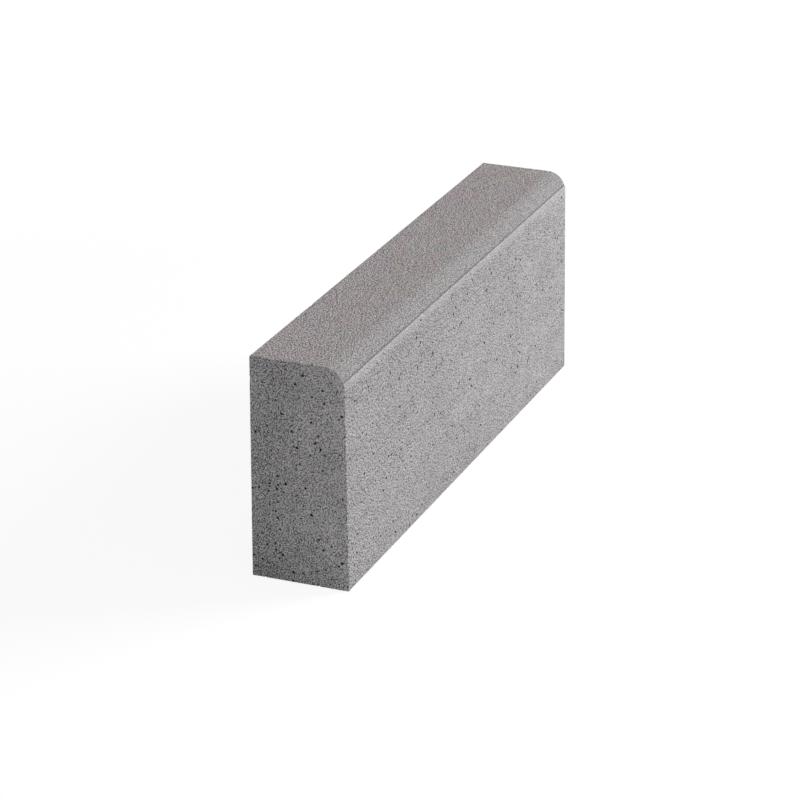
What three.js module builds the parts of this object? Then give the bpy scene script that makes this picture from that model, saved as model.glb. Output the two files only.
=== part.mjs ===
// Concrete kerb stone, one vibropressed casting. Millimetres, +Z up.
// X runs from the plain back to the exposed front, Y runs along the kerb,
// and the origin is the centre of the base.

import * as THREE from 'three';

// Overall size, taken at the foot of the kerb.
const LENGTH = 500;
const HEIGHT = 180;
const BASE_WIDTH = 80;

// The front leans back by this much between its foot and the ledge.
const FRONT_BATTER = 3;

// The rounded front edge is pressed in by the tamper. Its arc leaves the top
// face without a step and stops before it is plumb.
const EDGE_RADIUS = 16;
const EDGE_DROP = 11.2;
const ARC_STEPS = 24;

// The rim of the tamper leaves a narrow ledge between the arc and the front,
// which slopes outwards.
const LEDGE_WIDTH = 1;
const LEDGE_FALL = 1.2;

const CONCRETE = new THREE.MeshStandardMaterial({
  name: 'concrete',
  color: 0x9b9997,
  roughness: 0.95,
  metalness: 0,
});

// Cross-section seen along the kerb, drawn counterclockwise from the back of the base.
function kerbSection() {
  const back = -BASE_WIDTH / 2;
  const frontFoot = BASE_WIDTH / 2;
  const frontHead = frontFoot - FRONT_BATTER;
  const arcFootHeight = HEIGHT - EDGE_DROP;

  const arcFootAngle = Math.asin(1 - EDGE_DROP / EDGE_RADIUS);
  const arcCentreX = frontHead - LEDGE_WIDTH - EDGE_RADIUS * Math.cos(arcFootAngle);
  const arcCentreZ = HEIGHT - EDGE_RADIUS;

  const section = new THREE.Shape();
  section.moveTo(back, 0);
  section.lineTo(frontFoot, 0);
  section.lineTo(frontHead, arcFootHeight - LEDGE_FALL);
  section.absarc(arcCentreX, arcCentreZ, EDGE_RADIUS, arcFootAngle, Math.PI / 2, false);
  section.lineTo(back, HEIGHT);
  section.closePath();
  return section;
}

// The section runs straight through the whole length, with plumb, square-cut ends.
function kerbStone() {
  const body = new THREE.ExtrudeGeometry(kerbSection(), {
    depth: LENGTH,
    bevelEnabled: false,
    curveSegments: ARC_STEPS / 2,
  });
  body.translate(0, 0, -LENGTH / 2);
  body.rotateX(Math.PI / 2);

  const mesh = new THREE.Mesh(body, CONCRETE);
  mesh.name = 'kerb_stone';
  return mesh;
}

const group = new THREE.Group();
group.name = 'concrete_kerb_stone';
group.add(kerbStone());

export default group;
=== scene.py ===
"""The looks of a dry-pressed concrete kerb stone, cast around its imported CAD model."""

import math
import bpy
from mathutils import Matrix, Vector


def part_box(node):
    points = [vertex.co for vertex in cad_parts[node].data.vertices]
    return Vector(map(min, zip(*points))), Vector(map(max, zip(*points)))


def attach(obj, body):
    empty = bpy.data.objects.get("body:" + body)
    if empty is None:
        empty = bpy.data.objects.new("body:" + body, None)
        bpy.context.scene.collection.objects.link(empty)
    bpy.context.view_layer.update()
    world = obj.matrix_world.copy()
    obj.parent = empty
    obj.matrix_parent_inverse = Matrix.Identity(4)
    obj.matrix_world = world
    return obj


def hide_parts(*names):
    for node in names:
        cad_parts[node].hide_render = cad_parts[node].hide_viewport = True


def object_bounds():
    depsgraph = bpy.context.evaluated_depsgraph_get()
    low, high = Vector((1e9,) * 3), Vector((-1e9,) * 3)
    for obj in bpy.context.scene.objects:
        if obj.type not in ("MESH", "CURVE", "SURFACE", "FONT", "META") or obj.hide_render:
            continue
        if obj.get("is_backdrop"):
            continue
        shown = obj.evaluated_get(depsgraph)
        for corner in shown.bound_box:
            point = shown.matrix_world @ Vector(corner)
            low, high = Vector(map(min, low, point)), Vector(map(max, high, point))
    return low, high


bl_info = {
    "name": "Concrete Kerb Stone",
    "version": (1, 0, 0),
    "blender": (4, 5, 0),
    "location": "3D View > Sidebar > Kerb",
    "description": "Casts a concrete kerb with pores, sandy grain and worn arrises, and lights it",
    "category": "Add Mesh",
}

import bpy
import numpy as np
from bpy.props import FloatProperty, FloatVectorProperty, IntProperty, PointerProperty
from mathutils import Matrix, Vector

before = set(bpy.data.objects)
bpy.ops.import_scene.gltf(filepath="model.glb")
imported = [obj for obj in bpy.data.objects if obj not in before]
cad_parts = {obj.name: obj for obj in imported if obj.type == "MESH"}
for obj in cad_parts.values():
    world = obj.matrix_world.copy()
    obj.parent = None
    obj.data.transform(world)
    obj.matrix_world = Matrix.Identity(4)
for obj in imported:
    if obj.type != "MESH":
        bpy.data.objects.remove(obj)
CAD_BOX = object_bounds()
CAD_NODE = "kerb_stone"
KERB_LOW, KERB_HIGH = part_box(CAD_NODE)
KERB_SIZE = [high - low for low, high in zip(KERB_LOW, KERB_HIGH)]

# Attributes of the casting: 1 where the tamper pressed it, 1 on its arrises, 1 inside its pores,
# and from 1 on the ledge's edge, where a highlight is painted, to -1 in the seam behind it, where
# shade is painted.
PRESSED = "pressed"
ARRIS = "arris"
HOLLOW = "hollow"
LIP_HIGHLIGHT_AND_SEAM_SHADE = "lip"


# ---------------------------------------------------------------- settings


def length(name, description, default):
    """A length in metres that a user can change."""
    return FloatProperty(
        name=name, description=description, default=default, unit="LENGTH", precision=5
    )


def share(name, description, default):
    """A plain number that a user can change."""
    return FloatProperty(name=name, description=description, default=default, precision=3)


def colour(name, description, default):
    """A linear colour that a user can change."""
    return FloatVectorProperty(
        name=name, description=description, default=default, subtype="COLOR", size=3
    )


def angle(name, description, default):
    """An angle in radians that a user can change."""
    return FloatProperty(
        name=name, description=description, default=default, unit="ROTATION", precision=5
    )


def watts(name, description, default):
    """The power of a lamp in watts that a user can change."""
    return FloatProperty(name=name, description=description, default=default, unit="POWER")


class KerbForm(bpy.types.PropertyGroup):
    """Section, length and mesh of the casting."""

    length: length("Length", "Length along Y", KERB_SIZE[1])
    width: length("Width", "Width at the foot, along X", KERB_SIZE[0])
    height: length("Height", "Height of the top face", KERB_SIZE[2])
    batter: length("Batter", "How far the front leans back from foot to ledge", 0.003)
    edge_radius: length("Edge radius", "Radius of the rounded front edge", 0.016)
    edge_drop: length("Edge drop", "Fall of the rounded edge down to the ledge", 0.0112)
    ledge_width: length("Ledge width", "Width of the ledge under the rounded edge", 0.001)
    ledge_fall: length("Ledge fall", "Fall of the ledge towards the front", 0.0012)
    arris_radius: length("Arris radius", "Rounding of the long arrises", 0.0009)
    ledge_radius: length("Ledge radius", "Rounding of the ledge's outer edge", 0.0008)
    end_radius: length("End radius", "Rounding of the arrises round both ends", 0.0006)
    finest_gap: length("Finest gap", "Width of the first faces beside an arris", 0.0007)
    across: IntProperty(name="Faces across", description="Faces across top and base", default=36)
    upright: IntProperty(name="Faces upright", description="Faces up front and back", default=72)
    along: IntProperty(name="Faces along", description="Faces along the kerb", default=190)


class KerbSkin(bpy.types.PropertyGroup):
    """Relief, wear and pores of the casting's skin."""

    swell_depth: length("Swell depth", "Depth of the broad unevenness", 0.00016)
    swell_size: length("Swell size", "Width of the broad unevenness", 0.09)
    lump_depth: length("Lump depth", "Depth between the lumps of coarse sand", 0.00012)
    lump_size: length("Lump size", "Width of those lumps", 0.006)
    wear_depth: length("Wear depth", "Depth to which every arris is rubbed", 0.00022)
    wear_size: length("Wear size", "Width of the rubbed spots", 0.004)
    chip_depth: length("Chip depth", "Depth of the chips along the arrises", 0.0015)
    chip_size: length("Chip size", "Width of those chips", 0.014)
    arris_reach: length("Arris reach", "How far from an arris its wear reaches", 0.0022)
    # How far down the front the painted highlight of the ledge's edge fades.
    lip_highlight_reach: length("Lip reach", "How far the pale lip runs down below the ledge", 0.007)
    pore_spacing: length("Pore spacing", "Smallest distance between two pores", 0.0024)
    pore_density: FloatProperty(
        name="Pore density", description="Most pores per square metre", default=28000.0
    )
    smallest_pore: length("Smallest pore", "Radius of the smallest pore", 0.0005)
    largest_pore: length("Largest pore", "Radius of the largest pore", 0.0014)
    seed: IntProperty(name="Seed", description="Pattern of relief and pores", default=7)


class KerbColours(bpy.types.PropertyGroup):
    """Colours and finish of the concrete."""

    paste_dark: colour("Dark paste", "Darkest cement paste", (0.095, 0.0925, 0.0935))
    paste_light: colour("Light paste", "Lightest cement paste", (0.780, 0.758, 0.767))
    pressed_tint: colour("Pressed tint", "Tint of the pressed top", (1.08, 1.028, 1.028))
    warm_sand: colour("Warm sand", "Reddish grains in the pressed top", (0.42, 0.29, 0.25))
    # Painted shade inside the pores, the pits and the seam, darker than their hollows alone make
    # them.
    pore_painted_shade: colour("Pore shade", "Dust inside the pores", (0.022, 0.021, 0.021))
    grit_size: length("Grit size", "Distance between the coarser grains", 0.0014)
    grain_size: length("Grain size", "Width of a fine sand grain", 0.0006)
    sand_size: length("Sand size", "Width of the lumps of finest sand", 0.0007)
    grain_height: length("Grain height", "Height of the grains in the bump", 0.0004)
    pit_size: length("Pit size", "Radius of the largest pits between the grains", 0.00055)
    pit_spacing: length("Pit spacing", "Distance between those pits", 0.0024)
    mottle_size: length("Mottle size", "Width of the small spots of lighter paste", 0.012)
    cloud_size: length("Cloud size", "Width of the broad patches of lighter paste", 0.07)
    patch_size: length("Patch size", "Width of the tinted patches on the top", 0.014)
    foot_height: length("Foot height", "Height to which the foot is darker", 0.06)


class KerbStudio(bpy.types.PropertyGroup):
    """Camera, lamps and floor."""

    lens: FloatProperty(name="Lens", description="Focal length in millimetres", default=144.593)
    camera_place: FloatVectorProperty(
        name="Camera", description="Place of the camera", default=(0.8821, -2.2706, 1.051),
        subtype="TRANSLATION", size=3, precision=4,
    )
    heading: angle("Heading", "Turn of the view from +Y towards -X", 0.37752)
    pitch: angle("Pitch", "Tilt of the view below the horizon", 0.38785)
    roll: angle("Roll", "Turn of the camera about its view", 0.0028)
    key_power: watts("Key", "Power of the key lamp", 70.0)
    top_power: watts("Top", "Power of the top lamp", 5.2)
    fill_power: watts("Fill", "Power of the fill lamp", 0.22)
    sky_level: share("Sky", "Level of the even light from all round", 0.30)
    floor_shade: share("Floor shade", "Share of real light in the floor's white", 0.25)
    floor_white: share("Floor white", "Strength of the rest of the floor's white", 1.15)


class KerbSettings(bpy.types.PropertyGroup):
    """All the settings of the kerb."""

    form: PointerProperty(type=KerbForm)
    skin: PointerProperty(type=KerbSkin)
    colours: PointerProperty(type=KerbColours)
    studio: PointerProperty(type=KerbStudio)


# ---------------------------------------------------------------- node graphs


# Mean of a noise and of a random channel.
MEAN = 0.5


class Wire:
    """An output socket that can be used in arithmetic, each step adding its Math node."""

    def __init__(self, graph, node, socket):
        self.graph = graph
        self.node = node
        self.socket = socket

    def out(self, name):
        """Another output of the same node."""
        return Wire(self.graph, self.node, self.graph.pick(self.node.outputs, name))

    def math(self, operation, *values):
        """A Math node on these values."""
        return self.graph.node("ShaderNodeMath", {"operation": operation}, dict(enumerate(values)))

    def __add__(self, other):
        return self.math("ADD", self, other)

    def __sub__(self, other):
        return self.math("SUBTRACT", self, other)

    def __rsub__(self, other):
        return self.math("SUBTRACT", other, self)

    def __mul__(self, other):
        return self.math("MULTIPLY", self, other)

    def __rtruediv__(self, other):
        return self.math("DIVIDE", other, self)

    def __pow__(self, other):
        return self.math("POWER", self, other)

    def __gt__(self, other):
        return self.math("GREATER_THAN", self, other)

    def __abs__(self):
        return self.math("ABSOLUTE", self)

    __radd__ = __add__
    __rmul__ = __mul__

    def capped(self, limit):
        """The value, or the limit where it is smaller."""
        return self.math("MINIMUM", self, limit)

    def clamp(self):
        """The value held between 0 and 1."""
        return self.graph.node("ShaderNodeClamp", {}, {"Value": self})

    def ramp(self, low, high):
        """0 at low and 1 at high, with a soft start and end."""
        sockets = {"Value": self, "From Min": low, "From Max": high}
        return self.graph.node("ShaderNodeMapRange", {"interpolation_type": "SMOOTHSTEP"}, sockets)


class Graph:
    """Adds nodes to a tree and links them."""

    def __init__(self, tree):
        self.tree = tree

    @staticmethod
    def pick(sockets, key):
        """A socket by its place, or the first one in use that has that name."""
        if isinstance(key, int):
            return sockets[key]
        return next(socket for socket in sockets if socket.enabled and socket.name == key)

    def node(self, kind, settings=None, sockets=None):
        """A new node: its settings first, then the values or wires of its sockets."""
        node = self.tree.nodes.new(kind)
        for name, value in (settings or {}).items():
            setattr(node, name, value)
        for key, value in (sockets or {}).items():
            socket = self.pick(node.inputs, key)
            if isinstance(value, Wire):
                self.tree.links.new(value.socket, socket)
            else:
                socket.default_value = value
        first = next((socket for socket in node.outputs if socket.enabled), None)
        return Wire(self, node, first)

    def noise(self, place, size, detail, seed):
        """Soft noise from 0 to 1 whose lumps are about this size."""
        sockets = {"Vector": place, "W": seed, "Scale": 1.0 / size, "Detail": detail}
        return self.node("ShaderNodeTexNoise", {"noise_dimensions": "4D"}, sockets)

    def cells(self, place, size, dimensions="3D"):
        """Cells of about this size: how far their nearest centre is, in sizes, and a colour."""
        settings = {"feature": "F1", "voronoi_dimensions": dimensions}
        return self.node("ShaderNodeTexVoronoi", settings, {"Vector": place, "Scale": 1.0 / size})

    def channels(self, colour):
        """A colour taken apart into Red, Green and Blue."""
        return self.node("ShaderNodeSeparateColor", {}, {"Color": colour})

    def axes(self, vector):
        """A vector taken apart into X, Y and Z."""
        whole = self.node("ShaderNodeSeparateXYZ", {}, {"Vector": vector})
        return [whole.out(axis) for axis in "XYZ"]

    def scale(self, vector, factor):
        """A vector times a number."""
        sockets = {"Vector": vector, "Scale": factor}
        return self.node("ShaderNodeVectorMath", {"operation": "SCALE"}, sockets)

    def mix(self, factor, first, second, blend="MIX"):
        """One colour blended into another."""
        settings = {"data_type": "RGBA", "blend_type": blend}
        return self.node("ShaderNodeMix", settings, {"Factor": factor, "A": first, "B": second})


# ---------------------------------------------------------------- the casting's mesh

# Faces round a long arris, round an end's arris and along the rounded edge.
CORNER_STEPS = 4
END_STEPS = 3
NOSE_STEPS = 16

# Width of the painted shade in the seam behind the ledge.
SEAM_SHADE_WIDTH = 0.0007

# Growth of the faces away from an arris, and the halvings in the search for the widest face.
GROWTH = 1.3
HALVINGS = 50

# Play allowed where heights are compared.
HEIGHT_PLAY = 1e-6


def unit(turn):
    """The unit vector at this angle in the section."""
    return Vector((math.cos(turn), math.sin(turn)))


def arc(centre, radius, start, end, steps):
    """Points along an arc, both ends included."""
    return [centre + radius * unit(start + (end - start) * i / steps) for i in range(steps + 1)]


def rounded(corner, first_normal, last_normal, radius):
    """Points that round the corner between two faces, given by the angles of their normals."""
    first, last = unit(first_normal), unit(last_normal)
    centre = corner - (first + last) * (radius / (1 + first.dot(last)))
    return arc(centre, radius, first_normal, last_normal, CORNER_STEPS)


def graded(total, count, finest):
    """Places from 0 to total whose gaps are finest at both ends and widen to one common gap."""
    free = [finest * GROWTH ** min(i, count - 1 - i) for i in range(count)]
    low, high = 0.0, total
    for _ in range(HALVINGS):
        widest = (low + high) / 2
        if sum(min(gap, widest) for gap in free) < total:
            low = widest
        else:
            high = widest
    places = np.cumsum([0.0] + [min(gap, widest) for gap in free])
    return places * total / places[-1]


def side(count, finest, before, after):
    """One side of the section: two runs of points, joined by a straight with graded gaps."""
    steps = count - (len(before) - 1) - (len(after) - 1)
    start, end = before[-1], after[0]
    reach = end - start
    straight = [start + reach.normalized() * t for t in graded(reach.length, steps, finest)]
    return np.array([*before, *straight[1:-1], *after])


class Section:
    """The kerb's section as four sides, with equal counts on opposite ones, and its corners."""

    def __init__(self, form):
        half = form.width / 2
        foot_back = Vector((-half, 0))
        foot_front = Vector((half, 0))
        nose_foot = Vector((half - form.batter - form.ledge_width, form.height - form.edge_drop))
        ledge_edge = nose_foot + Vector((form.ledge_width, -form.ledge_fall))
        top_back = Vector((-half, form.height))

        lean = math.atan2(form.batter, ledge_edge.y)
        ledge_normal = math.atan2(form.ledge_width, form.ledge_fall)
        nose_start = math.asin(1 - form.edge_drop / form.edge_radius)
        nose_centre = nose_foot - form.edge_radius * unit(nose_start)

        radius = form.arris_radius
        back_foot = rounded(foot_back, math.pi, 1.5 * math.pi, radius)
        front_foot = rounded(foot_front, -math.pi / 2, lean, radius)
        ledge = rounded(ledge_edge, lean, ledge_normal, form.ledge_radius)
        ledge.append((ledge[-1] + nose_foot) / 2)
        nose = arc(nose_centre, form.edge_radius, nose_start, math.pi / 2, NOSE_STEPS)
        back_head = rounded(top_back, math.pi / 2, math.pi, radius)

        mid = CORNER_STEPS // 2
        turn = NOSE_STEPS // 2
        gap = form.finest_gap
        self.bottom = side(form.across, gap, back_foot[mid:], front_foot[:mid + 1])
        self.front = side(form.upright, gap, front_foot[mid:], ledge + nose[:turn + 1])
        self.top = side(form.across, gap, back_head[mid::-1], nose[:turn - 1:-1])
        self.back = side(form.upright, gap, back_foot[mid::-1], back_head[:mid - 1:-1])
        self.corners = np.array([foot_back, foot_front, ledge_edge, top_back])
        self.ledge_edge = ledge_edge
        self.nose_foot = nose_foot

    def ring(self):
        """The whole outline, counterclockwise from the back of the base."""
        sides = (self.bottom, self.front, self.top[::-1], self.back[::-1])
        return np.concatenate([points[:-1] for points in sides])

    def pressed(self):
        """1 on the points of the ring that the tamper pressed, 0 on the others."""
        front = (self.front[:-1, 1] > self.nose_foot.y - HEIGHT_PLAY).astype(float)
        top = np.ones(len(self.top) - 1)
        return np.concatenate([np.zeros(len(self.bottom) - 1), front, top,
                               np.zeros(len(self.back) - 1)])

    def lip(self, reach):
        """Painted highlight and shade: 1 at the ledge's edge, fading down the front, and -1 in the
        seam behind the ledge.
        """
        ring = self.ring()
        edge = np.linalg.norm(ring - np.array(self.ledge_edge), axis=1)
        seam = np.linalg.norm(ring - np.array(self.nose_foot), axis=1)
        below = ring[:, 1] < self.nose_foot.y - HEIGHT_PLAY
        pale = np.clip(1 - edge / reach, 0, 1) * below
        return np.where(below, pale, -bell(seam, SEAM_SHADE_WIDTH))


def outward(ring):
    """Outward unit normals of a counterclockwise ring."""
    run = np.roll(ring, -1, axis=0) - np.roll(ring, 1, axis=0)
    normal = np.stack([run[:, 1], -run[:, 0]], axis=1)
    return normal / np.linalg.norm(normal, axis=1, keepdims=True)


def end_grid(ring, across, upright):
    """Numbers of the ring's points round a grid over the end face, with -1 inside."""
    grid = np.full((across + 1, upright + 1), -1)
    count = len(ring)
    grid[:, 0] = np.arange(across + 1)
    grid[across, :] = across + np.arange(upright + 1)
    grid[::-1, upright] = across + upright + np.arange(across + 1)
    grid[0, ::-1] = (2 * across + upright + np.arange(upright + 1)) % count
    return grid


def end_points(ring, grid):
    """Points of an end face, blended between its four sides."""
    u = np.linspace(0, 1, grid.shape[0])[:, None, None]
    v = np.linspace(0, 1, grid.shape[1])[None, :, None]
    bottom, top = ring[grid[:, 0]][:, None], ring[grid[:, -1]][:, None]
    back, front = ring[grid[0]][None], ring[grid[-1]][None]
    corners = ((1 - u) * (1 - v) * ring[grid[0, 0]] + u * (1 - v) * ring[grid[-1, 0]]
               + (1 - u) * v * ring[grid[0, -1]] + u * v * ring[grid[-1, -1]])
    return (1 - v) * bottom + v * top + (1 - u) * back + u * front - corners


def quads(grid):
    """Faces of a grid of point numbers, with their normal on the side of (row, column)."""
    return np.stack([grid[:-1, :-1], grid[1:, :-1], grid[1:, 1:], grid[:-1, 1:]], -1).reshape(-1, 4)


def layers(form):
    """Places along Y of the ring's layers, and how far each is drawn in to round the ends."""
    half = form.length / 2
    turns = np.linspace(math.pi / 2, 0, END_STEPS + 1)
    insets = form.end_radius * (1 - np.cos(turns))
    steps_in = form.end_radius * (1 - np.sin(turns))
    straight = graded(form.length - 2 * form.end_radius, form.along, form.finest_gap)
    y = np.concatenate([steps_in[:-1] - half, straight + form.end_radius - half,
                        half - steps_in[-2::-1]])
    inset = np.concatenate([insets[:-1], np.zeros(len(straight)), insets[-2::-1]])
    return y, inset


def bell(gap, reach):
    """1 at a gap of 0, falling to almost nothing at twice the reach."""
    return np.exp(-((gap / reach) ** 2))


def gaps_between(places, targets):
    """Distance from each place to the nearest target."""
    return np.linalg.norm(places[:, None] - targets[None], axis=2).min(axis=1)


def casting_mesh(form, skin):
    """The plain casting as one closed mesh of even, square faces, with its attributes."""
    section = Section(form)
    ring = section.ring()
    half = form.length / 2
    y, inset = layers(form)
    flat = ring[None] - outward(ring)[None] * inset[:, None, None]
    depth = np.broadcast_to(y[:, None], flat.shape[:2])
    body = np.stack([flat[..., 0], depth, flat[..., 1]], -1).reshape(-1, 3)
    numbers = np.arange(len(body)).reshape(len(y), len(ring))
    faces = [quads(np.concatenate([numbers, numbers[:, :1]], axis=1))]

    # Both ends are closed by the same grid, whose rim is the ring's first or last layer.
    grid = end_grid(ring, form.across, form.upright)
    inside = end_points(flat[0], grid)[1:-1, 1:-1].reshape(-1, 2)
    points = [body]
    for rim, place, facing in ((0, -half, 1), (numbers[-1, 0], half, -1)):
        cap = grid + rim
        middle = cap[1:-1, 1:-1]
        first = len(body) + len(inside) * (len(points) - 1)
        middle[:] = first + np.arange(len(inside)).reshape(middle.shape)
        points.append(np.insert(inside, 1, place, axis=1))
        faces.append(quads(cap)[:, ::facing])

    mesh = bpy.data.meshes.new("kerb_casting")
    mesh.from_pydata(np.concatenate(points).tolist(), [], np.concatenate(faces).tolist())

    reach = skin.arris_reach
    long_arrises = bell(gaps_between(ring, section.corners), reach)
    end_arrises = bell(half - np.abs(y), reach)
    fade = (1 - inset / form.end_radius)[:, None]
    none = np.zeros(len(inside))
    marks = {
        ARRIS: (np.maximum(long_arrises[None], end_arrises[:, None]),
                bell(gaps_between(inside, ring), reach)),
        PRESSED: (section.pressed()[None] * fade, none),
        LIP_HIGHLIGHT_AND_SEAM_SHADE: (section.lip(skin.lip_highlight_reach)[None] * fade, none),
    }
    for name, (on_body, on_cap) in marks.items():
        values = np.concatenate([on_body.ravel(), on_cap, on_cap])
        mesh.attributes.new(name, "FLOAT", "POINT").data.foreach_set("value", values)
    return mesh


# ---------------------------------------------------------------- the casting's skin

# Inputs of the skin's tree, and the settings that they take their values from.
SKIN_INPUTS = {
    "Swell depth": "swell_depth",
    "Swell size": "swell_size",
    "Lump depth": "lump_depth",
    "Lump size": "lump_size",
    "Wear depth": "wear_depth",
    "Wear size": "wear_size",
    "Chip depth": "chip_depth",
    "Chip size": "chip_size",
    "Pore spacing": "pore_spacing",
    "Pore density": "pore_density",
    "Smallest pore": "smallest_pore",
    "Largest pore": "largest_pore",
}

# Levels of the noise between which a chip deepens, and the depth of the lumps on pressed faces
# as a share of that on the moulded ones.
CHIP_LEVELS = (0.60, 0.78)
PRESSED_LUMPS = 0.5

# Share of the pore density on the front and back, on the ends and on the base, and the least
# share between the clusters.
SIDE_PORES = 0.60
END_PORES = 1.00
BED_PORES = 0.13
SPARSE_PORES = 0.35
CLUSTER_SIZE = 0.03
CLUSTER_LEVELS = (0.40, 0.60)

# Each pore is cut by a rough, oval ball. The depth of its centre, its height and its width are
# shares of its radius. The higher the rarity, the fewer large pores there are.
PORE_CENTRE_DEPTH = 0.4
PORE_HEIGHT = 1.5
PORE_OVAL = (0.75, 1.25)
PORE_RARITY = 2.5
PORE_SEGMENTS = 6
PORE_RINGS = 3

# Size and depth of the roughness of a pore's wall.
WALL_SIZE = 0.0012
WALL_DEPTH = 0.0006

# How much of a normal lies along an axis where a face counts as facing that way, and the angle
# between two faces from which their edge stays sharp.
FACING = 0.7
SHARP_ANGLE = math.radians(38)


def named(graph, name):
    """An attribute of the mesh, read in Geometry Nodes."""
    return graph.node("GeometryNodeInputNamedAttribute", {"data_type": "FLOAT"}, {"Name": name})


def store(graph, geometry, name, value):
    """Stores one value on every face."""
    settings = {"data_type": "FLOAT", "domain": "FACE"}
    sockets = {"Geometry": geometry, "Name": name, "Value": value}
    return graph.node("GeometryNodeStoreNamedAttribute", settings, sockets)


def relief(graph, given, place, geometry):
    """Sinks the skin by its unevenness, and the arrises by their wear and chips."""
    seed = given("Seed")
    swell = given("Swell depth") * graph.noise(place, given("Swell size"), detail=1.0, seed=seed)
    lumps = given("Lump depth") * graph.noise(place, given("Lump size"), detail=3.0, seed=seed)
    lumps = lumps * (1 - (1 - PRESSED_LUMPS) * named(graph, PRESSED))
    rubbed = given("Wear depth") * graph.noise(place, given("Wear size"), detail=2.0, seed=seed)
    chips = graph.noise(place, given("Chip size"), detail=4.0, seed=seed).ramp(*CHIP_LEVELS)
    worn = named(graph, ARRIS) * (rubbed + given("Chip depth") * chips)
    sunk = graph.scale(graph.node("GeometryNodeInputNormal"), 0 - (swell + lumps + worn))
    return graph.node("GeometryNodeSetPosition", {}, {"Geometry": geometry, "Offset": sunk})


def random_value(graph, low, high, seed):
    """A random number for each point."""
    sockets = {"Min": low, "Max": high, "Seed": seed}
    return graph.node("FunctionNodeRandomValue", {"data_type": "FLOAT"}, sockets)


def pore_points(graph, given, place, geometry):
    """Points for the pores: in clusters on the moulded faces, closest together on the ends."""
    facing = graph.axes(graph.node("GeometryNodeInputNormal"))
    on_ends = abs(facing[1]) > FACING
    on_bed = 0 - facing[2] > FACING
    level = graph.noise(place, CLUSTER_SIZE, detail=2.0, seed=given("Seed"))
    clusters = SPARSE_PORES + (1 - SPARSE_PORES) * level.ramp(*CLUSTER_LEVELS)
    bare = 1 - (named(graph, PRESSED) + abs(named(graph, LIP_HIGHLIGHT_AND_SEAM_SHADE))).clamp()
    by_face = (SIDE_PORES + (END_PORES - SIDE_PORES) * on_ends
               - (SIDE_PORES - BED_PORES) * on_bed)
    return graph.node("GeometryNodeDistributePointsOnFaces", {"distribute_method": "POISSON"}, {
        "Mesh": geometry, "Distance Min": given("Pore spacing"),
        "Density Max": given("Pore density"), "Density Factor": by_face * clusters * bare,
        "Seed": given("Seed"),
    })


def pore_cutters(graph, given, place, points):
    """Rough, oval balls of random size and turn, seated a little below the skin."""
    spread = random_value(graph, 0.0, 1.0, seed=1) ** PORE_RARITY
    radius = given("Smallest pore") + (given("Largest pore") - given("Smallest pore")) * spread
    sunk = graph.scale(points.out("Normal"), radius * -PORE_CENTRE_DEPTH)
    seats = graph.node("GeometryNodeSetPosition", {}, {"Geometry": points, "Offset": sunk})

    spin = graph.node("FunctionNodeAxisAngleToRotation", {}, {
        "Axis": (0.0, 0.0, 1.0), "Angle": random_value(graph, 0.0, math.tau, seed=2),
    })
    turned = graph.node("FunctionNodeRotateRotation", {"rotation_space": "LOCAL"}, {
        "Rotation": points.out("Rotation"), "Rotate By": spin,
    })
    size = graph.node("ShaderNodeCombineXYZ", {}, {
        "X": radius, "Y": radius * random_value(graph, *PORE_OVAL, seed=3),
        "Z": radius * PORE_HEIGHT,
    })
    ball = graph.node("GeometryNodeMeshUVSphere", {}, {
        "Segments": PORE_SEGMENTS, "Rings": PORE_RINGS, "Radius": 1.0,
    })
    balls = graph.node("GeometryNodeInstanceOnPoints", {}, {
        "Points": seats, "Instance": ball, "Rotation": turned, "Scale": size,
    })
    smooth = graph.node("GeometryNodeRealizeInstances", {}, {"Geometry": balls})
    rough = graph.noise(place, WALL_SIZE, detail=1.0, seed=4.0).out("Color")
    push = graph.node("ShaderNodeVectorMath", {"operation": "SUBTRACT"}, {
        0: rough, 1: (MEAN, MEAN, MEAN),
    })
    return graph.node("GeometryNodeSetPosition", {}, {
        "Geometry": smooth, "Offset": graph.scale(push, WALL_DEPTH),
    })


def pores(graph, given, place, geometry):
    """Cuts the open pores, and marks the faces inside them."""
    points = pore_points(graph, given, place, geometry)
    cutters = pore_cutters(graph, given, place, points)
    settings = {"operation": "DIFFERENCE", "solver": "MANIFOLD"}
    return graph.node("GeometryNodeMeshBoolean", settings, {
        "Mesh 1": store(graph, geometry, HOLLOW, 0.0),
        "Mesh 2": store(graph, cutters, HOLLOW, 1.0),
    })


def skin_tree():
    """The Geometry Nodes tree that gives the plain casting its skin."""
    tree = bpy.data.node_groups.new("Kerb skin", "GeometryNodeTree")
    tree.interface.new_socket("Geometry", in_out="INPUT", socket_type="NodeSocketGeometry")
    for name in SKIN_INPUTS:
        tree.interface.new_socket(name, in_out="INPUT", socket_type="NodeSocketFloat")
    tree.interface.new_socket("Seed", in_out="INPUT", socket_type="NodeSocketInt")
    tree.interface.new_socket("Concrete", in_out="INPUT", socket_type="NodeSocketMaterial")
    tree.interface.new_socket("Geometry", in_out="OUTPUT", socket_type="NodeSocketGeometry")

    graph = Graph(tree)
    given = graph.node("NodeGroupInput").out
    place = graph.node("GeometryNodeInputPosition")
    worn = relief(graph, given, place, given("Geometry"))
    cut = pores(graph, given, place, worn)
    smooth = graph.node("GeometryNodeSetShadeSmooth", {"domain": "FACE"}, {"Geometry": cut})
    bend = graph.node("GeometryNodeInputMeshEdgeAngle")
    creased = graph.node("GeometryNodeSetShadeSmooth", {"domain": "EDGE"}, {
        "Geometry": smooth, "Selection": bend > SHARP_ANGLE, "Shade Smooth": False,
    })
    whole = graph.node("GeometryNodeRealizeInstances", {}, {"Geometry": creased})
    done = graph.node("GeometryNodeSetMaterial", {}, {
        "Geometry": whole, "Material": given("Concrete"),
    })
    graph.node("NodeGroupOutput", {}, {"Geometry": done})
    return tree


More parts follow.
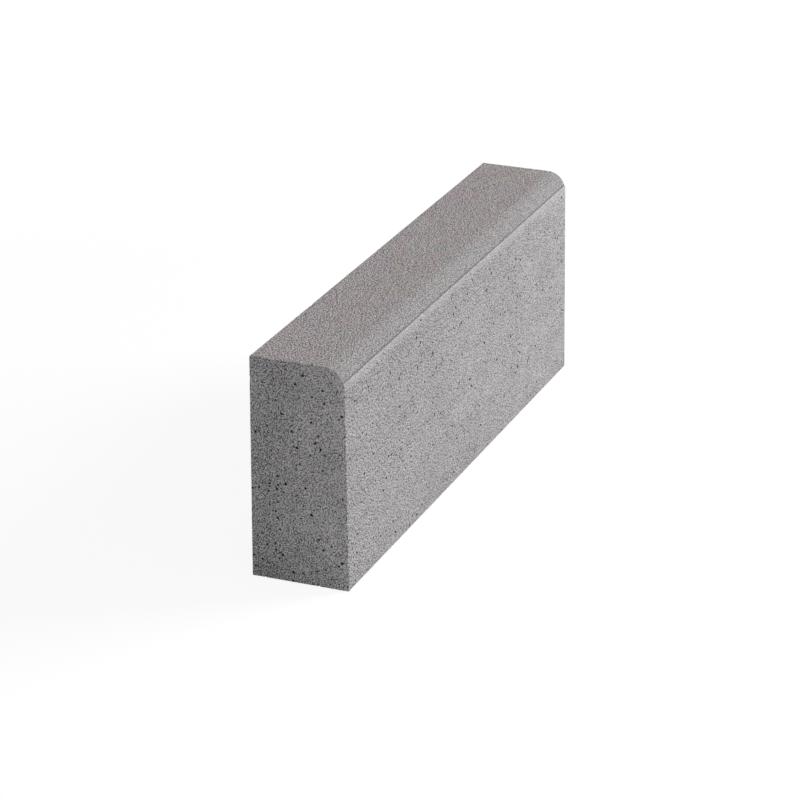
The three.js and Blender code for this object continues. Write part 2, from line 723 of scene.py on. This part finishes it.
def bake_skin(kerb, skin, material):
    """Runs the skin's tree on the casting and keeps the result as a plain mesh."""
    tree = skin_tree()
    values = {name: getattr(skin, source) for name, source in SKIN_INPUTS.items()}
    values.update({"Seed": skin.seed, "Concrete": material})
    modifier = kerb.modifiers.new("Skin", "NODES")
    modifier.node_group = tree
    for item in tree.interface.items_tree:
        if item.in_out == "INPUT" and item.name in values:
            modifier[item.identifier] = values[item.name]
    graph = bpy.context.evaluated_depsgraph_get()
    baked = bpy.data.meshes.new_from_object(
        kerb.evaluated_get(graph), preserve_all_data_layers=True, depsgraph=graph
    )
    kerb.modifiers.remove(modifier)
    plain = kerb.data
    kerb.data = baked
    baked.name = plain.name
    bpy.data.meshes.remove(plain)


# ---------------------------------------------------------------- the concrete

# How far from an end the grit's map folds over, and where the tones of the end fade in.
END_FOLD = 0.0008
END_FADE = (0.002, 0.0005)

# Where across the kerb the pressed top turns from its warm crown into its paler shoulder, how far
# that border wanders, and where the front begins.
CROWN_BORDER = (0.015, 0.035)
BORDER_WANDER = 0.012
FRONT_START = 0.03

# Values for the four kinds of face: the sides, which are the front, back and base, then the ends,
# the crown and the shoulder. The first is the plain tone of the paste, from 0 dark to 1 light, and
# the others are the shares of each texture in it.
PLAIN_TONE = (0.480, 0.480, 0.470, 0.395)
GRIT_SHARE = (1.7, 1.7, 2.2, 1.3)
SAND_SHARE = (1.3, 1.3, 1.5, 1.0)
GRAIN_SHARE = (0.5, 0.5, 0.5, 0.35)
MOTTLE_SHARE = (0.22, 0.32, 0.09, 0.09)
CLOUD_SHARE = (0.19, 0.51, 0.06, 0.06)

# Change per metre: the grit fades along the kerb, the ends get lighter towards the front as a
# painted gradient of light, the sides darker towards the top and the crown darker along the kerb.
GRIT_FADE = 1.6
END_LIGHT_SLOPE = 1.5
SIDE_SLOPE = 0.32
CROWN_SLOPE = 0.06

# Painted shade, uneven, darkening the foot of the sides and the ends, with the least unevenness and
# its size.
FOOT_SHADE = 0.025
END_FOOT_SHADE = 0.105
FOOT_LEAST = 0.4
FOOT_SHADE_UNEVENNESS_SIZE = 0.02

# The darker band under the ledge: depths below the top at which it starts, is darkest and ends,
# its shade halfway along the kerb and how much that falls per metre.
BAND_DEPTHS = (0.034, 0.024, 0.016)
BAND_SHADE = 0.038
BAND_FADE = 0.12

# Grit: the scale of its map on the ends, the mean distance to a grain's centre, and the distance
# at which the gaps between the grains stop getting darker.
END_GRIT_SCALE = 0.8
GRIT_MEAN = 0.41
GRIT_GAP = 0.57

# Pits: the share of cells that have none, the smallest as a share of the largest, and the flat
# part of each.
PIT_RARITY = 0.80
SMALLEST_PIT = 0.5
PIT_FLOOR = 0.6

# Strength of each colour laid over the paste, and the rarity of warm grains.
PATCH_STRENGTH = 0.15
WARM_SAND_RARITY = 0.88
WARM_SAND_STRENGTH = 0.4
# Painted highlight at the ledge's edge, and painted shade in the seam behind it.
LIP_HIGHLIGHT_STRENGTH = 0.33
SEAM_SHADE_STRENGTH = 0.6
# Painted shade in the small pits.
PIT_SHADE_STRENGTH = 0.9

# Height of the fine grains and of the grit in the bump, against that of the finest sand.
GRAIN_BUMP = 0.5
GRIT_BUMP = 0.8

# Finish: the roughness, how much the sand varies it, and the level of the shine.
ROUGHNESS = 0.86
ROUGHNESS_SPREAD = 0.12
SPECULAR_LEVEL = 0.3


def new_material(name):
    """An empty node material."""
    material = bpy.data.materials.new(name)
    material.use_nodes = True
    material.node_tree.nodes.clear()
    return material, Graph(material.node_tree)


def opaque(tint):
    """A colour with full alpha."""
    return (*tint, 1.0)


class Spot:
    """The shaded spot: its place, how far it is on each kind of face, and its textures."""

    def __init__(self, graph, colours):
        self.place = graph.node("ShaderNodeTexCoord").out("Object")
        self.across, self.along, self.up = graph.axes(self.place)
        # The lip attribute runs from 1 on the painted highlight at the ledge's edge to -1 on the
        # painted shade in the seam.
        self.pressed, self.hollow, self.lip = (
            graph.node("ShaderNodeAttribute", {"attribute_name": name}).out("Fac")
            for name in (PRESSED, HOLLOW, LIP_HIGHLIGHT_AND_SEAM_SHADE)
        )
        self.mottle = graph.noise(self.place, colours.mottle_size, detail=3.0, seed=2.0)
        self.cloud = graph.noise(self.place, colours.cloud_size, detail=2.0, seed=19.0)
        self.sand = graph.noise(self.place, colours.sand_size, detail=0.0, seed=1.0)
        self.grains = graph.channels(graph.cells(self.place, colours.grain_size).out("Color"))

        half = KERB_SIZE[1] / 2
        self.on_ends = abs(self.along).ramp(*(half - gap for gap in END_FADE))
        border = self.across + BORDER_WANDER * (self.mottle - MEAN)
        self.crown = self.pressed * (1 - border.ramp(*CROWN_BORDER))
        self.shoulder = self.pressed - self.crown
        self.on_sides = 1 - self.on_ends - self.pressed
        self.grit = self.grit_level(graph, colours)
        self.pits = self.pit_level(graph, colours)

    def by_face(self, sides, ends, crown, shoulder):
        """The value for the kind of face that the spot is on."""
        return (sides + (ends - sides) * self.on_ends + (crown - sides) * self.crown
                + (shoulder - sides) * self.shoulder)

    def grit_level(self, graph, colours):
        """Above 0 on each coarser grain, and below 0 in the dark gaps between them."""
        # The faces are unrolled, so that each grain shows whole and none is cut thin.
        end_face = abs(self.along) > KERB_SIZE[1] / 2 - END_FOLD
        unrolled = graph.node("ShaderNodeCombineXYZ", {}, {
            "X": self.across - self.up, "Y": self.along + end_face * (self.across + self.up),
        })
        spread = graph.scale(unrolled, 1 - (1 - END_GRIT_SCALE) * end_face)
        return GRIT_MEAN - graph.cells(spread, colours.grit_size, "2D").capped(GRIT_GAP)

    def pit_level(self, graph, colours):
        """1 in the small pits between the grains of the moulded faces, and 0 elsewhere."""
        cells = graph.cells(self.place, colours.pit_spacing)
        chance = graph.channels(cells.out("Color"))
        largest = colours.pit_size / colours.pit_spacing
        rim = largest * (SMALLEST_PIT + (1 - SMALLEST_PIT) * chance.out("Green"))
        return (1 - cells.ramp(PIT_FLOOR * rim, rim)) * (chance > PIT_RARITY) * (1 - self.pressed)


def paste_tone(graph, spot, colours):
    """The tone of the paste, from 0 dark to 1 light."""
    textures = (
        (spot.by_face(*GRIT_SHARE) - GRIT_FADE * spot.along * (1 - spot.on_ends)) * spot.grit
        + spot.by_face(*SAND_SHARE) * (spot.sand - MEAN)
        + spot.by_face(*GRAIN_SHARE) * (spot.grains.out("Red") - MEAN)
        + spot.by_face(*MOTTLE_SHARE) * (spot.mottle - MEAN)
        + spot.by_face(*CLOUD_SHARE) * (spot.cloud - MEAN)
    )
    # On the ends the slope is a painted gradient of light, lighter towards the front.
    slopes = (
        END_LIGHT_SLOPE * spot.on_ends * spot.across
        + SIDE_SLOPE * spot.on_sides * (KERB_SIZE[2] / 2 - spot.up)
        - CROWN_SLOPE * spot.along * spot.crown
    )
    # Painted shade darkens the foot, unevenly.
    uneven_shade = FOOT_LEAST + graph.noise(spot.place, FOOT_SHADE_UNEVENNESS_SIZE, detail=2.0, seed=4.0)
    foot = (1 - spot.up.ramp(0.0, colours.foot_height)) * uneven_shade
    foot_shade = FOOT_SHADE + (END_FOOT_SHADE - FOOT_SHADE) * spot.on_ends
    start, middle, end = (KERB_SIZE[2] - depth for depth in BAND_DEPTHS)
    band = spot.up.ramp(start, middle) * (1 - spot.up.ramp(middle, end))
    on_front = (spot.across > FRONT_START) * (1 - spot.on_ends)
    shades = foot_shade * foot + (BAND_SHADE - BAND_FADE * spot.along) * band * on_front
    return (spot.by_face(*PLAIN_TONE) + textures + slopes - shades).clamp()


def concrete(colours):
    """Dry, dull concrete: sandy paste, warmer where it was pressed, with painted shade in its
    pores.
    """
    material, graph = new_material("Dry-pressed concrete")
    spot = Spot(graph, colours)
    patches = graph.noise(spot.place, colours.patch_size, detail=1.0, seed=5.0).out("Color")
    warm = (spot.grains.out("Green") > WARM_SAND_RARITY) * spot.crown * WARM_SAND_STRENGTH
    # The shade colour is painted shade, and the light paste also gives the painted highlight at the
    # ledge.
    light, shade = opaque(colours.paste_light), opaque(colours.pore_painted_shade)

    tint = graph.mix(paste_tone(graph, spot, colours), opaque(colours.paste_dark), light)
    tint = graph.mix(spot.crown, tint, opaque(colours.pressed_tint), "MULTIPLY")
    tint = graph.mix(PATCH_STRENGTH * spot.crown, tint, patches, "OVERLAY")
    tint = graph.mix(warm, tint, opaque(colours.warm_sand))
    # Painted highlight at the ledge's edge, and painted shade in the seam behind it.
    tint = graph.mix((spot.lip * LIP_HIGHLIGHT_STRENGTH).clamp(), tint, light)
    tint = graph.mix((spot.lip * -SEAM_SHADE_STRENGTH).clamp(), tint, shade)
    # Painted shade inside the pores and the small pits.
    tint = graph.mix((spot.hollow + PIT_SHADE_STRENGTH * spot.pits).clamp(), tint, shade)

    height = (spot.sand + GRAIN_BUMP * spot.grains.out("Blue") + GRIT_BUMP * spot.grit
              - spot.pits)
    bump = graph.node("ShaderNodeBump", {}, {
        "Strength": 1.0, "Distance": colours.grain_height, "Height": height,
    })
    surface = graph.node("ShaderNodeBsdfPrincipled", {}, {
        "Base Color": tint, "Roughness": ROUGHNESS + ROUGHNESS_SPREAD * spot.sand,
        "Specular IOR Level": SPECULAR_LEVEL, "Normal": bump,
    })
    graph.node("ShaderNodeOutputMaterial", {}, {"Surface": surface})
    return material


class KERB_OT_cast_stone(bpy.types.Operator):
    """Cast the kerb stone, with its worn arrises, sandy grain and open pores"""

    bl_idname = "kerb.cast_stone"
    bl_label = "Cast Kerb Stone"

    def execute(self, context):
        settings = context.scene.kerb
        mesh = casting_mesh(settings.form, settings.skin)
        kerb = bpy.data.objects.new("kerb_casting", mesh)
        context.scene.collection.objects.link(kerb)
        bake_skin(kerb, settings.skin, concrete(settings.colours))
        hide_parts(CAD_NODE)
        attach(kerb, "root")
        return {"FINISHED"}


# ---------------------------------------------------------------- the stage

# Half the side of the floor, and what it reflects.
FLOOR_REACH = 12.0
FLOOR_COLOUR = (0.85, 0.85, 0.85, 1.0)
WHITE = (1.0, 1.0, 1.0, 1.0)

# Distance from the kerb at which the floor's real light begins to fade, and at which it is gone.
SHADE_REACH = (0.5, 1.8)

# Lamps: place, point aimed at, side in metres, and the setting with the power.
MIDDLE = (0.0, 0.0, KERB_SIZE[2] / 2)
LAMPS = {
    "Key": ((2.08, 1.75, 1.36), MIDDLE, 1.4, "key_power"),
    "Top": ((0.0, -0.6, 1.8), MIDDLE, 1.0, "top_power"),
    "Fill": ((0.28, -0.72, 0.2), (0.0, -0.25, 0.1), 0.3, "fill_power"),
}


def seen(graph):
    """1 for rays that show a thing directly, in a reflection or through glass, and 0 for light."""
    path = graph.node("ShaderNodeLightPath")
    rays = path.out("Is Camera Ray") + path.out("Is Glossy Ray") + path.out("Is Transmission Ray")
    return rays.clamp()


def blend_surfaces(graph, factor, first, second):
    """A Mix Shader of two surfaces."""
    return graph.node("ShaderNodeMixShader", {}, {0: factor, 1: first, 2: second})


def pale_floor(studio):
    """A floor that looks white and still keeps a soft shadow."""
    material, graph = new_material("Pale floor")
    lit = graph.node("ShaderNodeBsdfDiffuse", {}, {"Color": FLOOR_COLOUR})
    white = graph.node("ShaderNodeEmission", {}, {
        "Color": WHITE, "Strength": studio.floor_white,
    })
    spot = graph.node("ShaderNodeTexCoord").out("Object")
    distance = graph.node("ShaderNodeVectorMath", {"operation": "LENGTH"}, {0: spot})
    near = 1 - distance.ramp(*SHADE_REACH)
    share_white = seen(graph) * (1 - studio.floor_shade * near)
    surface = blend_surfaces(graph, share_white, lit, white)
    graph.node("ShaderNodeOutputMaterial", {}, {"Surface": surface})
    return material


def white_sky(scene, studio):
    """Even, soft light from all round, which looks white to the camera."""
    world = bpy.data.worlds.new("Studio")
    world.use_nodes = True
    world.node_tree.nodes.clear()
    graph = Graph(world.node_tree)
    soft = graph.node("ShaderNodeBackground", {}, {"Strength": studio.sky_level})
    white = graph.node("ShaderNodeBackground", {}, {"Color": WHITE})
    surface = blend_surfaces(graph, seen(graph), soft, white)
    graph.node("ShaderNodeOutputWorld", {}, {"Surface": surface})
    scene.world = world


def lamp(scene, name, place, aim, size, power):
    """A square soft lamp at a place, turned towards a point."""
    light = bpy.data.lights.new(name, "AREA")
    light.size = size
    light.energy = power
    lamp_object = bpy.data.objects.new(name, light)
    lamp_object.location = place
    lamp_object.rotation_euler = (Vector(aim) - Vector(place)).to_track_quat("-Z", "Y").to_euler()
    scene.collection.objects.link(lamp_object)


def set_camera(scene, studio):
    """The camera, at its place and turned by heading, pitch and roll."""
    camera = bpy.data.objects.new("Camera", bpy.data.cameras.new("Camera"))
    camera.data.lens = studio.lens
    turn = (Matrix.Rotation(studio.heading, 4, "Z")
            @ Matrix.Rotation(math.pi / 2 - studio.pitch, 4, "X")
            @ Matrix.Rotation(studio.roll, 4, "Z"))
    camera.matrix_world = Matrix.Translation(studio.camera_place) @ turn
    scene.collection.objects.link(camera)
    scene.camera = camera


class KERB_OT_set_stage(bpy.types.Operator):
    """Lay the pale floor and place the lamps and the camera"""

    bl_idname = "kerb.set_stage"
    bl_label = "Set Stage"

    def execute(self, context):
        scene = context.scene
        studio = scene.kerb.studio
        mesh = bpy.data.meshes.new("floor")
        corners = [(-1, -1), (1, -1), (1, 1), (-1, 1)]
        mesh.from_pydata([(x * FLOOR_REACH, y * FLOOR_REACH, 0.0) for x, y in corners], [],
                         [(0, 1, 2, 3)])
        mesh.materials.append(pale_floor(studio))
        floor = bpy.data.objects.new("floor", mesh)
        scene.collection.objects.link(floor)
        floor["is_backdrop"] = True

        white_sky(scene, studio)
        for name, (place, aim, side_length, power) in LAMPS.items():
            lamp(scene, name, place, aim, side_length, getattr(studio, power))
        set_camera(scene, studio)
        scene.view_settings.view_transform = "Standard"
        return {"FINISHED"}


# ---------------------------------------------------------------- the add-on


class KERB_PT_tools(bpy.types.Panel):
    """Tools and settings of the kerb stone"""

    bl_label = "Concrete Kerb"
    bl_idname = "KERB_PT_tools"
    bl_space_type = "VIEW_3D"
    bl_region_type = "UI"
    bl_category = "Kerb"

    def draw(self, context):
        for operator in STEPS:
            self.layout.operator(operator.bl_idname)
        settings = context.scene.kerb
        for group in (settings.form, settings.skin, settings.colours, settings.studio):
            box = self.layout.box()
            for name in group.__annotations__:
                box.prop(group, name)


STEPS = (KERB_OT_cast_stone, KERB_OT_set_stage)
CLASSES = (KerbForm, KerbSkin, KerbColours, KerbStudio, KerbSettings, *STEPS, KERB_PT_tools)


def register():
    """Adds the settings, steps and panel."""
    for item in CLASSES:
        bpy.utils.register_class(item)
    bpy.types.Scene.kerb = PointerProperty(type=KerbSettings)


def unregister():
    """Takes them away again."""
    del bpy.types.Scene.kerb
    for item in reversed(CLASSES):
        bpy.utils.unregister_class(item)


def main():
    """Casts the kerb, sets the stage and works out the sizes of the CAD model and of the casting.
    """
    register()
    bpy.ops.kerb.cast_stone()
    bpy.ops.kerb.set_stage()
    boxes = {"cad": CAD_BOX, "visual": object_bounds()}
    boxes = {name: [list(map(float, corner)) for corner in box] for name, box in boxes.items()}


if __name__ == "__main__":
    main()
